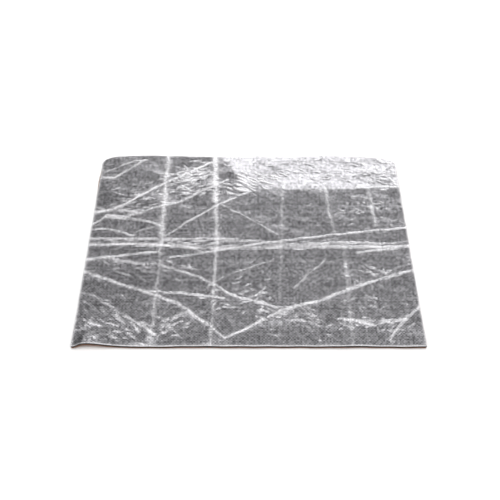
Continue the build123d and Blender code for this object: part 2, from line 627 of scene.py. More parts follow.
class Relief:
    """The facing's heights over the whole pad, with where its film is worn, on one fine grid."""

    STEP = 0.5 * MM
    LEVEL = -0.40 * MM
    HIGHEST = 0.24 * MM
    LOWEST = -0.95 * MM
    # Creases waver over long stretches and are uneven over short ones.
    WAVER_SIZE = 30 * MM
    WAVER_MM = 0.5
    FINE_SIZES = (5 * MM, 2.4 * MM)
    FINE_SHARE = 0.7
    # A crease is a narrow ridge on a wide, low tent, whose reach is a multiple of the ridge's width.
    RIDGE_SHARE = 0.95
    TENT_REACH = 7.0
    # The film is frosted along a crease in a strong narrow line and a weak wide one, each with
    # its strength and its width as a multiple of the ridge's. Where creases cross, a spot that is
    # worn already wears less.
    FROST_LINE = (0.82, 1.05)
    FROST_HALO = (0.24, 1.8)
    OVERLAP = 0.6
    # Short wrinkles: how far they stray in their patch, and their widths and bends.
    STRAY = 0.55
    WRINKLE_MM = (1.1, 1.7)
    BEND = 0.12
    CRUMPLE_MM = ((46, 0.100), (21, 0.060), (9.5, 0.026), (4.6, 0.010))
    # The strip that dips to the rear: its depth, where it starts and how it widens, as shares.
    DIP_DEPTH = 0.205
    DIP_START = 0.385
    DIP_WIDENS = 0.125
    DIP_DEG = 7.0
    # Slow tilts over the rest of the pad: sizes along X and Y, and height.
    SLOW_MM = ((120, 90, 0.30), (55, 40, 0.12))

    def __init__(self, pad: PadSizes) -> None:
        """Makes the grid and works out its maps.

        Args:
            pad: the pad's sizes.
        """
        self.pad = pad
        self.random = np.random.default_rng(41)
        span = pad.high - pad.low
        self.columns = int(round(span[0] / self.STEP)) + 1
        self.rows = int(round(span[1] / self.STEP)) + 1
        x = pad.low[0] + np.arange(self.columns) * self.STEP
        y = pad.low[1] + np.arange(self.rows) * self.STEP
        self.x, self.y = np.meshgrid(x, y)
        self.height = np.zeros_like(self.x)
        self.wear = np.zeros_like(self.x)
        self.waver = [self.soft_noise(self.WAVER_SIZE, self.WAVER_SIZE) for _ in range(2)]
        self.fine = sum(self.soft_noise(size, size) * self.FINE_SHARE for size in self.FINE_SIZES)
        for crease in FOLD_CREASES + CREASES:
            self.add_crease(crease)
        for patch in WRINKLES:
            self.add_wrinkles(patch)
        for size_mm, spread_mm in self.CRUMPLE_MM:
            self.height += self.soft_noise(size_mm * MM, size_mm * MM) * spread_mm * MM
        self.height = np.clip(self.height + self.LEVEL, self.LOWEST, self.HIGHEST)
        self.wear = np.clip(self.wear, 0.0, 1.0)
        self.sway = self.tilted_areas()

    def soft_noise(self, size_x: float, size_y: float) -> Array:
        """Smooth noise of spread 1, with its own scale each way.

        Args:
            size_x: the usual distance between bumps along X, in metres.
            size_y: the same along Y.

        Returns:
            The noise on the grid.
        """
        white = np.fft.rfft2(self.random.standard_normal((self.rows, self.columns)))
        fy = np.fft.fftfreq(self.rows, self.STEP)[:, None] * size_y
        fx = np.fft.rfftfreq(self.columns, self.STEP)[None, :] * size_x
        radius = np.hypot(fx, fy)
        made = np.fft.irfft2(white * radius * np.exp(-(radius**2)), s=(self.rows, self.columns))
        return made / made.std()

    def window(self, ends: Array, reach: float) -> tuple[slice, slice] | None:
        """The part of the grid within reach of some points.

        Args:
            ends: the points, one a row.
            reach: how far round them, in metres.

        Returns:
            Row and column slices, or None where that is off the pad.
        """
        low = (ends.min(0) - reach - self.pad.low[:2]) / self.STEP
        high = (ends.max(0) + reach - self.pad.low[:2]) / self.STEP
        c0, r0 = np.maximum(np.floor(low), 0).astype(int)
        c1 = min(int(high[0]) + 2, self.columns)
        r1 = min(int(high[1]) + 2, self.rows)
        return None if c0 >= c1 or r0 >= r1 else (slice(r0, r1), slice(c0, c1))

    def distance(self, points: Array, reach: float) -> Array:
        """How far each grid point is from a line that wavers a little, as a real crease does.

        Args:
            points: the line's corners, one a row.
            reach: how far from the line it is worked out, in metres.

        Returns:
            The distances, infinite further away.
        """
        nearest = np.full_like(self.x, np.inf)
        for start, end in zip(points[:-1], points[1:]):
            part = self.window(np.array([start, end]), reach)
            if part is None:
                continue
            wx, wy = (waver[part] * self.WAVER_MM * MM for waver in self.waver)
            dx, dy = self.x[part] + wx - start[0], self.y[part] + wy - start[1]
            run = end - start
            t = np.clip((dx * run[0] + dy * run[1]) / (run @ run), 0, 1)
            nearest[part] = np.minimum(nearest[part], np.hypot(dx - t * run[0], dy - t * run[1]))
        return nearest

    def add_crease(self, crease: Crease) -> None:
        """Raises one crease and wears its film.

        Args:
            crease: the crease.
        """
        width = crease.width_mm * MM
        points = np.array([self.pad.at(share) for share in crease.path])
        nearest = self.distance(points, width * self.TENT_REACH * 2.2)
        narrow = np.exp(-((nearest / width) ** 2)) * np.clip(0.85 + 0.40 * self.fine, 0.1, 1.7)
        tent = np.exp(-nearest / (width * self.TENT_REACH / 2))
        raised = self.RIDGE_SHARE * crease.height_mm * narrow + crease.tent_mm * tent
        self.height = self.height + raised * MM
        (strong, narrow_line), (weak, wide_line) = self.FROST_LINE, self.FROST_HALO
        line = strong * np.exp(-((nearest / (width * narrow_line)) ** 2))
        line = line + weak * np.exp(-nearest / (width * wide_line))
        broken = np.clip(0.90 + 0.35 * self.fine + 0.22 * self.waver[0], 0, 1.6)
        self.wear = self.wear + crease.wear * line * broken * (1 - self.wear * self.OVERLAP)

    def add_wrinkles(self, patch: Wrinkles) -> None:
        """Scatters a patch's short wrinkles, each slightly bent and fading towards its ends.

        Args:
            patch: where they are and how they lie.
        """
        size = (self.pad.high - self.pad.low)[:2]
        for _ in range(patch.count):
            spot = self.random.normal(0, self.STRAY, 2) * patch.reach * size
            middle = self.pad.at(patch.centre) + spot
            turn = math.radians(patch.turn_deg + self.random.normal(0, 1) * patch.spread_deg)
            length = patch.length_mm * MM * self.random.uniform(0.5, 1.5)
            width = self.random.uniform(*self.WRINKLE_MM) * MM
            height = patch.height_mm * MM * self.random.uniform(0.5, 1.5)
            bend = self.random.normal(0, self.BEND) * length
            way = np.array([math.cos(turn), math.sin(turn)])
            ends = np.array([middle - way * length / 2, middle + way * length / 2])
            part = self.window(ends, width * 3)
            if part is None:
                continue
            dx, dy = self.x[part] - middle[0], self.y[part] - middle[1]
            s = (dx * way[0] + dy * way[1]) / (length / 2)
            across = -dx * way[1] + dy * way[0] - bend * (1 - s * s)
            fade = np.clip(1 - s * s, 0, 1)
            ridge = np.exp(-((across / width) ** 2)) * fade * np.clip(0.9 + 0.3 * self.fine[part], 0.1, 1.6)
            self.height[part] += height * ridge
            self.wear[part] += patch.wear * ridge * (1 - self.wear[part] * self.OVERLAP)

    def tilted_areas(self) -> Array:
        """Heights in millimetres of areas between creases that lie at a slight tilt.

        Returns:
            The heights, for the surface's shading only.
        """
        u = (self.x - self.pad.low[0]) / (self.pad.high[0] - self.pad.low[0])
        v = (self.pad.high[1] - self.y) / (self.pad.high[1] - self.pad.low[1])
        length_mm = (self.pad.high[1] - self.pad.low[1]) / MM
        brink = self.DIP_DEPTH * smooth_step((u - self.DIP_START) / self.DIP_WIDENS)
        beyond = np.clip(brink - v, 0, None) * length_mm
        rounding_mm = 2.0 + 9 * smooth_step((0.80 - u) / 0.30)
        fading = 1 - 0.30 * smooth_step((u - 0.76) / 0.20)
        tilt = math.tan(math.radians(self.DIP_DEG)) * fading
        slow = sum(
            self.soft_noise(size_x * MM, size_y * MM) * share for size_x, size_y, share in self.SLOW_MM
        )
        return tilt * (rounding_mm - np.sqrt(beyond**2 + rounding_mm**2)) + slow

    def sample(self, grid: Array, x: Array, y: Array) -> Array:
        """Reads a map between its grid points.

        Args:
            grid: the map.
            x: places along X, in metres.
            y: places along Y, in metres.

        Returns:
            The map's values there.
        """
        c = np.clip((x - self.pad.low[0]) / self.STEP, 0, self.columns - 1.001)
        r = np.clip((y - self.pad.low[1]) / self.STEP, 0, self.rows - 1.001)
        c0, r0 = c.astype(int), r.astype(int)
        fc, fr = c - c0, r - r0
        near = grid[r0, c0] * (1 - fc) + grid[r0, c0 + 1] * fc
        far = grid[r0 + 1, c0] * (1 - fc) + grid[r0 + 1, c0 + 1] * fc
        return near * (1 - fr) + far * fr


# --------------------------------------------------------------------- outline


@dataclass(frozen=True)
class CutEdge:
    """How a layer's cut edge stands, in metres.

    swell is how far it bows out half-way up, grow how far the front edge stands out beyond the
    outline, and slip how far the left edge does towards the rear.
    """

    swell: float = 0.0
    grow: float = 0.0
    slip: float = 0.0


class Outline:
    """Where the pad's cut edge really runs, and how far parts of the pad lift off the floor."""

    # The facing rolls over along the cut edge, which is cut by hand and wanders a little.
    ROLL = 1.2 * MM
    ROLL_DEPTH = 0.35 * MM
    FRONT_TRIM = 0.5 * MM
    WOBBLE = 0.40 * MM
    WOBBLE_DEPTH = 6 * MM
    SIDE_WAVES = ((61, 0.7, 0.6), (173, 2.1, 0.4))
    END_WAVES = ((53, 1.9, 0.6), (149, 0.3, 0.4))
    # The slip of a layer at the left is greatest at this share of the length from the rear.
    SLIP_PLACE = 0.15
    SLIP_SPREAD = 0.006
    CORNER_STRETCH = 1.35
    # The hump at the front-left corner: its height, where it peaks and ends, and its pull inwards.
    CURL_HEIGHT = 5.6 * MM
    CURL_START = 1 * MM
    CURL_PEAK = 17 * MM
    CURL_END = 80 * MM
    CURL_DEPTH = 34 * MM
    CURL_DRAW = 1.6 * MM
    # The pad waves between its folds and ripples at its edge, but lies calm near closing folds.
    WAVE = 0.8 * MM
    RIPPLE = 0.35 * MM
    RIPPLE_DEPTH = 28 * MM
    CALM = 35 * MM
    # How deep the creases are pressed into the underside, before it is halved.
    PRESSED = 0.3 * MM
    # The rear edge runs in and out: share of the width from the left, and millimetres outwards.
    REAR_DEPTH = 40 * MM
    REAR_LINE = (
        (0.0, -3.2), (0.05, 1.0), (0.10, 3.2), (0.15, 4.0), (0.20, 3.4), (0.30, 0.8), (0.39, 0.2),
        (0.50, 1.2), (0.62, 1.6), (0.74, 1.8), (0.82, 1.4), (0.90, 0.1), (0.95, -2.8), (1.0, -7.5),
    )

    def __init__(self, pad: PadSizes, relief: Relief) -> None:
        """Keeps the pad's sizes and its relief.

        Args:
            pad: the pad's sizes.
            relief: the facing's maps.
        """
        self.pad = pad
        self.relief = relief

    def edge_distance(self, x: Array, y: Array) -> Array:
        """How far a point of the square-cornered pad is from its nearest side."""
        low, high = self.pad.low, self.pad.high
        return np.minimum(np.minimum(x - low[0], high[0] - x), np.minimum(y - low[1], high[1] - y))

    def place(self, x: Array, y: Array, cut: CutEdge = CutEdge()) -> tuple[Array, Array]:
        """Moves points of the square-cornered pad to the real outline.

        Args:
            x: places along X.
            y: places along Y.
            cut: how the layer's cut edge stands.

        Returns:
            The same points with round corners and an unevenly cut edge.
        """
        low, high = self.pad.low, self.pad.high
        px, py = self.rounded(x, y)
        left, right, front, rear = (
            smooth_step(1 - away / self.WOBBLE_DEPTH)
            for away in (x - low[0], high[0] - x, y - low[1], high[1] - y)
        )
        wave_x = self.WOBBLE * waves(y, self.SIDE_WAVES)
        wave_y = self.WOBBLE * waves(x, self.END_WAVES)
        from_rear = (high[1] - y) / (high[1] - low[1])
        out_left = cut.slip * np.exp(-((from_rear - self.SLIP_PLACE) ** 2) / self.SLIP_SPREAD)
        px = px + right * wave_x - left * (wave_x + out_left)
        py = py + rear * wave_y - front * (wave_y + cut.grow - self.FRONT_TRIM)
        shares, offsets = zip(*self.REAR_LINE)
        pulled = np.interp((x - low[0]) / (high[0] - low[0]), shares, offsets) * MM
        py = py + pulled * smooth_step(1 - (high[1] - y) / self.REAR_DEPTH)
        drawn = self.curl(x, np.full_like(y, low[1])) / self.CURL_HEIGHT * self.CURL_DRAW
        return px, py + drawn * smooth_step(1 - (y - low[1]) / self.CURL_DEPTH)

    def rounded(self, x: Array, y: Array) -> tuple[Array, Array]:
        """Draws the points near the four corners in to round corners, wider than deep at the rear."""
        low, high = self.pad.low, self.pad.high
        px, py = x.copy(), y.copy()
        for end_y, side_y, radius, stretch in (
            (low[1], -1, self.pad.front_corner, 1.0),
            (high[1], 1, self.pad.rear_corner, self.CORNER_STRETCH),
        ):
            for end_x, side_x in ((low[0], -1), (high[0], 1)):
                wide, deep = radius * stretch, radius / stretch
                middle_x, middle_y = end_x - side_x * wide, end_y - side_y * deep
                a, b = (x - middle_x) * side_x / wide, (y - middle_y) * side_y / deep
                inside = (a > 0) & (b > 0)
                a, b = np.clip(a, 0, 1), np.clip(b, 0, 1)
                px = np.where(inside, middle_x + side_x * wide * a * np.sqrt(1 - b * b / 2), px)
                py = np.where(inside, middle_y + side_y * deep * b * np.sqrt(1 - a * a / 2), py)
        return px, py

    def curl(self, x: Array, y: Array) -> Array:
        """The hump at the front-left corner, where the pad keeps the bend of being packed."""
        along = x - self.pad.low[0]
        rise = smooth_step((along - self.CURL_START) / (self.CURL_PEAK - self.CURL_START))
        fall = 1 - smooth_step((along - self.CURL_PEAK) / (self.CURL_END - self.CURL_PEAK))
        inward = np.clip(1 - (y - self.pad.low[1]) / self.CURL_DEPTH, 0, 1)
        return self.CURL_HEIGHT * rise * fall * inward**1.6

    def lift(self, x: Array, y: Array) -> Array:
        """How far every layer stands off the floor, highest along folds that fold base inwards.

        Args:
            x: places along X.
            y: places along Y.

        Returns:
            The lift in metres. It is 0 along folds that fold the facing inwards.
        """
        pad, middle = self.pad, self.pad.half_fold.place
        closing = [fold.place for fold in pad.cross_folds if fold.inwards is Inwards.FACING]
        peaks = [0.5, *(0.0 if fold.inwards is Inwards.FACING else 1.0 for fold in pad.cross_folds), 0.5]
        across = np.interp(x, pad.column_lines, peaks)
        outward = smooth_step((y - middle) / (np.where(y > middle, pad.high[1], pad.low[1]) - middle))
        ripple = 1 + 0.6 * np.sin(x * 47 + y * 31 + 1) + 0.4 * np.sin(x * 83 - y * 59 + 2.4)
        free = smooth_step(1 - self.edge_distance(x, y) / self.RIPPLE_DEPTH)
        free = free * smooth_step(np.abs(y - middle) / self.CALM)
        for place in closing:
            free = free * smooth_step(np.abs(x - place) / self.CALM)
        hump = self.curl(x, y)
        free = free * (1 - hump / self.CURL_HEIGHT)
        return self.WAVE * across * outward + self.RIPPLE * ripple * free + hump

    def facing_top(self, x: Array, y: Array) -> Array:
        """The facing's upper surface at rest, rolled over along the cut edge."""
        inside = np.clip(self.edge_distance(x, y) / self.ROLL, 0, 1)
        roll = self.ROLL_DEPTH * (1 - np.sqrt(1 - (1 - inside) ** 2))
        height = self.relief.sample(self.relief.height, x, y)
        return self.pad.top + height * (0.4 + 0.6 * inside) - roll + self.lift(x, y)

    def underside(self, x: Array, y: Array) -> Array:
        """The base's lower surface at rest, with the creases pressed into it."""
        pressed = self.relief.sample(self.relief.height, x, y) - self.relief.LEVEL
        return self.lift(x, y) + np.clip(pressed, 0, self.PRESSED) * 0.5

    def facing_normal(self, x: Array, y: Array) -> Array:
        """The facing's upward normals, the same from both sides of every fold."""
        step = 0.6 * MM
        dx = (self.facing_top(x + step, y) - self.facing_top(x - step, y)) / (2 * step)
        dy = (self.facing_top(x, y + step) - self.facing_top(x, y - step)) / (2 * step)
        normal = np.stack([-dx, -dy, np.ones_like(dx)], -1)
        return normal / np.linalg.norm(normal, axis=-1, keepdims=True)


# ---------------------------------------------------------------------- meshes


class Shell:
    """Gathers closed surfaces into one mesh, with its normals, cloth map and surface values."""

    VALUES = ("wear", "sway")

    def __init__(self) -> None:
        """Starts an empty mesh."""
        self.points: list[Array] = []
        self.quads: list[Array] = []
        self.normals: list[Array] = []
        self.values: dict[str, list[Array]] = {name: [] for name in self.VALUES}
        self.cloth: list[Array] = []
        self.count = 0

    def add(
        self,
        points: Array,
        groups: Sequence[tuple[Array, Array | None]],
        cloth: Array | None = None,
        wear: Array | None = None,
        sway: Array | None = None,
    ) -> None:
        """Adds one closed surface.

        Args:
            points: its points, one a row.
            groups: faces of four point numbers, each group with its points' normals or None.
            cloth: each point's place on the cloth, in metres.
            wear: each point's wear of the film, which on the slabs includes a painted highlight along the
                cut edge.
            sway: each point's height for shading alone.
        """
        for quads, normals in groups:
            self.quads.append(quads + self.count)
            corner = points[quads]
            if normals is None:
                flat = np.cross(corner[:, 2] - corner[:, 0], corner[:, 3] - corner[:, 1])
                flat /= np.maximum(np.linalg.norm(flat, axis=1, keepdims=True), 1e-15)
                self.normals.append(np.repeat(flat[:, None], 4, axis=1))
            else:
                self.normals.append(normals[quads])
        self.points.append(points)
        self.cloth.append(points[:, :2] if cloth is None else cloth)
        nothing = np.zeros(len(points))
        self.values["wear"].append(nothing if wear is None else wear)
        self.values["sway"].append(nothing if sway is None else sway)
        self.count += len(points)

    def build(self, name: str, material: bpy.types.Material) -> bpy.types.Object:
        """Makes the mesh object.

        Args:
            name: the piece's name.
            material: its one material.

        Returns:
            The piece, at the origin.
        """
        quads = np.concatenate(self.quads)
        mesh = bpy.data.meshes.new(name)
        mesh.from_pydata(np.concatenate(self.points).tolist(), [], quads.tolist())
        mesh.polygons.foreach_set("use_smooth", np.ones(len(quads), bool))
        layer = mesh.uv_layers.new(name="cloth")
        layer.data.foreach_set("uv", np.concatenate(self.cloth)[quads.ravel()].astype(np.float32).ravel())
        for key, parts in self.values.items():
            stored = mesh.attributes.new(key, "FLOAT", "POINT")
            stored.data.foreach_set("value", np.concatenate(parts).astype(np.float32))
        mesh.normals_split_custom_set(np.concatenate(self.normals).reshape(-1, 3).tolist())
        mesh.materials.append(material)
        piece = bpy.data.objects.new(name, mesh)
        bpy.context.scene.collection.objects.link(piece)
        return piece


def grid_numbers(rows: int, columns: int) -> tuple[Array, Array]:
    """Faces of a grid of points, seen from the side where rows and columns turn anticlockwise.

    Args:
        rows: how many rows of points.
        columns: how many points in a row.

    Returns:
        The faces and the grid of point numbers.
    """
    n = np.arange(rows * columns).reshape(rows, columns)
    faces = np.stack([n[:-1, :-1], n[:-1, 1:], n[1:, 1:], n[1:, :-1]], -1).reshape(-1, 4)
    return faces, n


def rim(n: Array) -> Array:
    """The point numbers round a grid, anticlockwise seen from above."""
    return np.concatenate([n[0, :-1], n[:-1, -1], n[-1, :0:-1], n[:0:-1, 0]])


# Distances of a panel's first grid lines from a cut edge.
EDGE_LINES = np.array([0.0, 0.15, 0.35, 0.65, 1.1]) * MM


def spread(start: float, end: float, step: float, cut_start: bool, cut_end: bool) -> Array:
    """Grid lines from start to end, closer together beside a cut edge.

    Args:
        start: the first line.
        end: the last line.
        step: the usual distance between lines.
        cut_start: whether start is a cut edge of the pad.
        cut_end: whether end is.

    Returns:
        The lines.
    """
    first = start + EDGE_LINES if cut_start else np.array([start])
    last = end - EDGE_LINES[::-1] if cut_end else np.array([end])
    count = max(int(math.ceil((last[0] - first[-1]) / step)), 1)
    return np.concatenate([first, np.linspace(first[-1], last[0], count + 1)[1:-1], last])

# ---------------------------------------------------------------------- panels


class Layer(Enum):
    """The pad's three layers."""

    BASE = "base"
    CORE = "core"
    FACING = "facing"


@dataclass
class Panel:
    """One panel of the pad between its folds, in three layers that turn with one body.

    Beside each fold a panel has a quarter roll about the fold's axis. At rest it lies hidden
    in the next panel, and when the pad folds it closes the bend.
    """

    pad: PadSizes
    outline: Outline
    row: str
    column: int
    # The distance between grid lines of the facing and of the foam.
    facing_step: float = 1.15 * MM
    foam_step: float = 4.0 * MM
    # How far a roll's ends stay inside a cut edge and inside another fold.
    cut_inset: float = 0.5 * MM
    fold_inset: float = 0.08 * MM
    # A roll's steps round the fold and along it, and how deep it is hidden at rest.
    fold_steps: int = 12
    roll_step: float = 2.5 * MM
    hidden: float = 0.35 * MM
    # How far a roll on top of a fold draws in, and over how many degrees.
    tuck: float = 0.4 * MM
    tuck_deg: float = 22
    thinnest: float = 0.02 * MM
    # How far the rolls stay below the facing, and over how many degrees they get there.
    margin: float = 0.05 * MM
    core_margin: float = 0.06 * MM
    ease_deg: float = 8
    wear_fade: float = 1.2
    # A painted highlight along the facing's cut edge, laid down as frosted film, and the gap between two
    # panels at rest.
    edge_highlight_width: float = 1.1 * MM
    edge_highlight_strength: float = 0.9
    seam: float = 0.01 * MM
    # How far the core's top lies under the facing inside the pad, how far it reaches into the
    # facing at the cut edge, and how far its underside sinks into the base.
    core_drop: float = 1.0 * MM
    core_overlap: float = 0.04 * MM
    core_sink: float = 0.22 * MM
    core_cut: CutEdge = CutEdge(0.15 * MM, 0.75 * MM)
    base_cut: CutEdge = CutEdge(0.20 * MM, 0.10 * MM, 1.7 * MM)

    @property
    def body(self) -> str:
        """The body that the panel turns with."""
        return f"{self.row}_{self.column}"

    @property
    def sides(self) -> tuple[float, float, float, float]:
        """Left, right, front and rear, which are fold lines or cut edges."""
        pad, lines, middle = self.pad, self.pad.column_lines, self.pad.half_fold.place
        front, rear = (pad.low[1], middle) if self.row == "front" else (middle, pad.high[1])
        return lines[self.column - 1], lines[self.column], front, rear

    def lines(self, step: float) -> tuple[Array, Array]:
        """The panel's grid lines.

        Args:
            step: the usual distance between them.

        Returns:
            Lines along X and along Y.
        """
        left, right, front, rear = self.sides
        found = []
        for start, end, axis in ((left, right, 0), (front, rear, 1)):
            cut_start, cut_end = start == self.pad.low[axis], end == self.pad.high[axis]
            start += 0.0 if cut_start else self.seam
            end -= 0.0 if cut_end else self.seam
            found.append(spread(start, end, step, cut_start, cut_end))
        return found[0], found[1]

    def slab(self, shell: Shell, x: Array, y: Array, low: Array, high: Array, cut: CutEdge) -> None:
        """Adds one closed layer.

        Args:
            shell: where it goes.
            x: the grid points' places along X on the square-cornered pad.
            y: the same along Y.
            low: the heights of the underside.
            high: the heights of the upper side.
            cut: how its cut edge stands.
        """
        px, py = self.outline.place(x, y, cut)
        faces, n = grid_numbers(*x.shape)
        ring, size = rim(n), x.size
        top = np.stack([px, py, high], -1).reshape(-1, 3)
        bottom = np.stack([px, py, low], -1).reshape(-1, 3)
        away = self.outline.edge_distance(x, y)
        at_cut = away.ravel()[ring] < 1e-7
        along = np.roll(top[ring, :2], -1, 0) - np.roll(top[ring, :2], 1, 0)
        along /= np.maximum(np.linalg.norm(along, axis=1, keepdims=True), 1e-12)
        middle = (top[ring] + bottom[ring]) / 2
        middle[at_cut, :2] += np.stack([along[:, 1], -along[:, 0]], -1)[at_cut] * cut.swell
        points = np.concatenate([top, bottom, middle])
        half = 2 * size + np.arange(len(ring))
        walls = [
            np.stack([a, np.roll(a, -1), np.roll(b, -1), b], -1)
            for a, b in ((ring + size, half), (half, ring))
        ]
        normals = np.zeros_like(points)
        normals[:size] = self.outline.facing_normal(x, y).reshape(-1, 3)
        maps = self.outline.relief
        # Along the cut edge the film's wear gains a painted highlight: light frosted film standing in for
        # light caught on the rolled edge.
        worn = np.minimum(maps.sample(maps.wear, x, y) + self.edge_highlight_strength * np.exp(-away / self.edge_highlight_width), 1.0)
        values = worn.ravel(), maps.sample(maps.sway, x, y).ravel()
        wear, sway = (np.concatenate([v, v, v[ring]]) for v in values)
        groups = [(faces, normals), (faces[:, ::-1] + size, None), (np.concatenate(walls), None)]
        shell.add(points, groups, wear=wear, sway=sway)

    def roll_section(self, fold: Fold, low: float, high: float) -> tuple[Array, Array]:
        """A quarter roll's section, out along its outer side and back along its inner side.

        Args:
            fold: the fold.
            low: the layer's underside.
            high: the layer's upper side.

        Returns:
            Distances from the fold's axis, and turns about it.
        """
        inwards = fold.inwards is Inwards.FACING
        outer = fold.height - low if inwards else high - fold.height
        inner = fold.height - high if inwards else low - fold.height
        limit = fold.height - (self.pad.top - self.hidden) if inwards else self.hidden / 4 - fold.height
        turns = np.linspace(0, math.acos(min(limit / outer, 1.0)), self.fold_steps)
        tuck = 0.0 if inwards else self.tuck
        big = outer - tuck * smooth_step(turns / math.radians(self.tuck_deg))
        small = np.minimum(np.maximum(inner, limit / np.cos(turns)), big - self.thinnest)
        return np.concatenate([big, small[::-1]]), np.concatenate([turns, turns[::-1]])

    def held_inside(
        self,
        tall: Array,
        at: tuple[Array, Array],
        spin: Array,
        outer_side: Array,
        inwards: bool,
        low: float,
        high: float,
    ) -> Array:
        """Holds a roll's heights between the facing above it and the underside below it.

        Args:
            tall: the heights.
            at: the points' places along X and Y.
            spin: their turns about the fold.
            outer_side: which points are on the roll's outer side.
            inwards: whether the facing lies inside the fold.
            low: the layer's underside.
            high: the layer's upper side.

        Returns:
            The heights.
        """
        ease = smooth_step(spin / math.radians(self.ease_deg))
        roof = self.outline.facing_top(*at) - self.margin * ease
        if high < self.pad.top:
            roof = roof - (self.core_margin if inwards else self.pad.top - self.pad.facing_bottom)
        tall = np.minimum(tall, np.where(outer_side, roof, roof - self.margin))
        buried = self.hidden / 4 if low <= 0 else self.hidden
        return np.maximum(tall, self.outline.underside(*at) + buried)

    def roll(self, shell: Shell, fold: Fold, along_x: bool, side: int, low: float, high: float) -> None:
        """Adds one layer's quarter roll about a fold.

        Args:
            shell: where it goes.
            fold: the fold.
            along_x: whether the fold's line runs along X.
            side: 1 where the next panel lies towards + and -1 where it lies towards -.
            low: the layer's underside.
            high: the layer's upper side.
        """
        left, right, front, rear = self.sides
        start, end, axis = (left, right, 0) if along_x else (front, rear, 1)
        start += self.cut_inset if start == self.pad.low[axis] else self.fold_inset
        end -= self.cut_inset if end == self.pad.high[axis] else self.fold_inset
        stations = np.linspace(start, end, max(int((end - start) / self.roll_step), 2))
        inwards = fold.inwards is Inwards.FACING
        ring_r, ring_t = self.roll_section(fold, low, high)
        count, half = len(ring_r), len(ring_r) // 2
        radius, spin = np.tile(ring_r, len(stations)), np.tile(ring_t, len(stations))
        outer_side = np.tile(np.arange(count) < half, len(stations))
        up = -1 if inwards else 1
        grown = np.repeat(stations, count)
        wide = fold.place + side * radius * np.sin(spin)

        def in_order(along: Array, across: Array, *rest: Array) -> tuple[Array, ...]:
            """X first, whichever way the fold runs."""
            return (along, across, *rest) if along_x else (across, along, *rest)

        own, maps = self.outline, self.outline.relief
        on_fold = in_order(grown, np.full_like(grown, fold.place))
        tall = fold.height + radius * np.cos(spin) * up + own.lift(*on_fold)
        if not inwards and low > 0:
            height = maps.sample(maps.height, *on_fold)
            tall = tall + np.where(outer_side, height, np.minimum(height, 0))
        tall = self.held_inside(tall, in_order(grown, wide), spin, outer_side, inwards, low, high)
        outward = np.where(outer_side, 1.0, -1.0)
        ways = in_order(np.zeros_like(spin), side * np.sin(spin) * outward, np.cos(spin) * outward * up)
        faces, n = grid_numbers(len(stations), count)
        closing = np.stack([n[:-1, -1], n[:-1, 0], n[1:, 0], n[1:, -1]], -1)
        quads = np.concatenate([faces, closing])
        back = n[:, ::-1]
        caps = np.stack([n[:, : half - 1], n[:, 1:half], back[:, 1:half], back[:, : half - 1]], -1)
        first, last = caps[0], caps[-1][:, ::-1]
        if ((side > 0) == along_x) != inwards:
            quads, first, last = quads[:, ::-1], first[:, ::-1], last[:, ::-1]
        shell.add(
            np.stack(in_order(grown, wide, tall), -1),
            [(quads, np.stack(ways, -1)), (first, None), (last, None)],
            cloth=np.stack(in_order(grown, fold.place + side * radius * spin), -1),
            wear=maps.sample(maps.wear, *on_fold) * np.exp(-spin * self.wear_fade),
        )

    def rolls(self, shell: Shell, low: float, high: float) -> None:
        """Adds a layer's quarter rolls at every fold beside the panel.

        Args:
            shell: where they go.
            low: the layer's underside.
            high: its upper side. The top layer gets no roll at folds that fold the facing inwards.
        """
        folds = self.pad.cross_folds
        beside = [(self.pad.half_fold, True, 1 if self.row == "front" else -1)]
        if self.column > 1:
            beside.append((folds[self.column - 2], False, -1))
        if self.column <= len(folds):
            beside.append((folds[self.column - 1], False, 1))
        for fold, along_x, side in beside:
            if high < self.pad.top or fold.inwards is Inwards.BASE:
                self.roll(shell, fold, along_x, side, low, high)

    def facing(self, material: bpy.types.Material) -> bpy.types.Object:
        """The silver cloth of the panel."""
        x, y = np.meshgrid(*self.lines(self.facing_step))
        top = self.outline.facing_top(x, y)
        thick = self.pad.top - self.pad.facing_bottom
        shell = Shell()
        self.slab(shell, x, y, top - thick, top, CutEdge())
        self.rolls(shell, self.pad.facing_bottom, self.pad.top)
        return shell.build(f"{self.body}_silver_cloth", material)

    def core(self, material: bpy.types.Material) -> bpy.types.Object:
        """The charcoal foam of the panel."""
        x, y = np.meshgrid(*self.lines(self.foam_step))
        lift = self.outline.lift(x, y)
        under_facing = self.outline.facing_top(x, y) - (self.pad.top - self.pad.facing_bottom)
        edge = np.exp(-self.outline.edge_distance(x, y) / (2 * MM))
        deep = self.pad.facing_bottom - self.core_drop + lift
        high = deep + (under_facing + self.core_overlap - deep) * edge
        shell = Shell()
        self.slab(shell, x, y, lift + self.pad.core_bottom - self.core_sink, high, self.core_cut)
        self.rolls(shell, self.pad.core_bottom, self.pad.facing_bottom)
        return shell.build(f"{self.body}_charcoal_foam", material)

    def base(self, material: bpy.types.Material) -> bpy.types.Object:
        """The rust-brown foam of the panel, darkened with painted shade, with its folds pressed into the
        underside.
        """
        x, y = np.meshgrid(*self.lines(self.foam_step / 2))
        high = self.outline.lift(x, y) + self.pad.core_bottom
        shell = Shell()
        self.slab(shell, x, y, self.outline.underside(x, y), high, self.base_cut)
        self.rolls(shell, 0.0, self.pad.core_bottom)
        return shell.build(f"{self.body}_rust_foam", material)


# -------------------------------------------------------------------- tape ends


